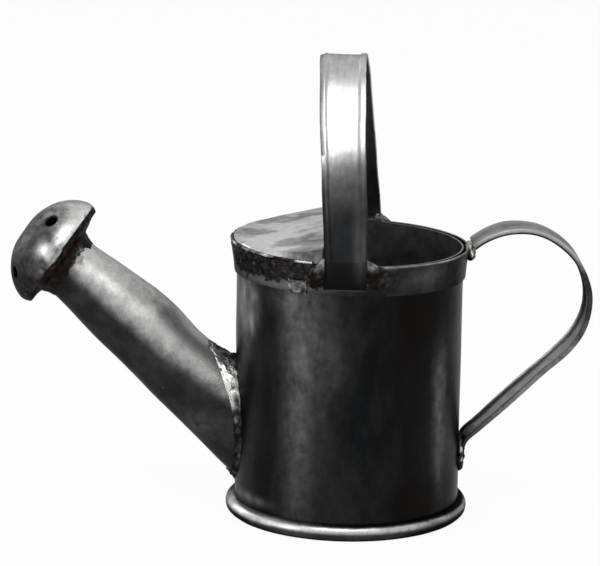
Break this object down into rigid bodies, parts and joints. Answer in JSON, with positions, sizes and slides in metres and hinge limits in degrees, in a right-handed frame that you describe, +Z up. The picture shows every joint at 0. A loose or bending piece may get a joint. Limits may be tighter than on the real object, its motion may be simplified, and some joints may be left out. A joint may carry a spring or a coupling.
{
  "type": "watering can",
  "caption": "Small tarnished sheet-metal watering can: straight body, half-covered mouth, hoop and rear strap handles, tapered spout with a domed rose.",
  "frame": {"origin": "centre of the whole can's box in X and Y, at the height the foot ring stands on", "axes": "+Z up, +X towards the rear handle, so the spout points along -X; the hoop strap runs along Y"},
  "size_m": [0.2227, 0.0942, 0.1775],
  "materials": {
    "tarnished_tin": "dark tarnished tinned sheet, mottled, with brighter worn streaks",
    "dark_tin": "burnt and blackened tinned sheet with small rust spots",
    "worn_tin": "worn grey tinned sheet, satin, with streaks and scratches",
    "bright_solder": "lumpy solder, bright on its high spots and brown-black in its hollows",
    "burnt_solder": "rough solder under brown-black rust"
  },
  "bodies": {
    "root": {"body_wall": "tarnished_tin", "base_disc": "tarnished_tin", "spout_tube": "tarnished_tin", "rose_dome": "tarnished_tin", "mouth_cover": "worn_tin", "bail_strap": "worn_tin", "foot_ring": "worn_tin", "rim_band": "dark_tin", "rear_handle": "dark_tin", "rose_back": "dark_tin", "rose_neck_solder": "burnt_solder", "base_solder": "burnt_solder", "side_seam": "burnt_solder", "band_patch": "bright_solder", "cover_solder": "bright_solder", "bail_solder_near_left": "bright_solder", "bail_solder_near_right": "bright_solder", "bail_solder_far_left": "bright_solder", "bail_solder_far_right": "bright_solder", "handle_top_solder": "bright_solder", "handle_foot_solder": "bright_solder", "spout_root_solder": "bright_solder"}
  },
  "joints": []
}
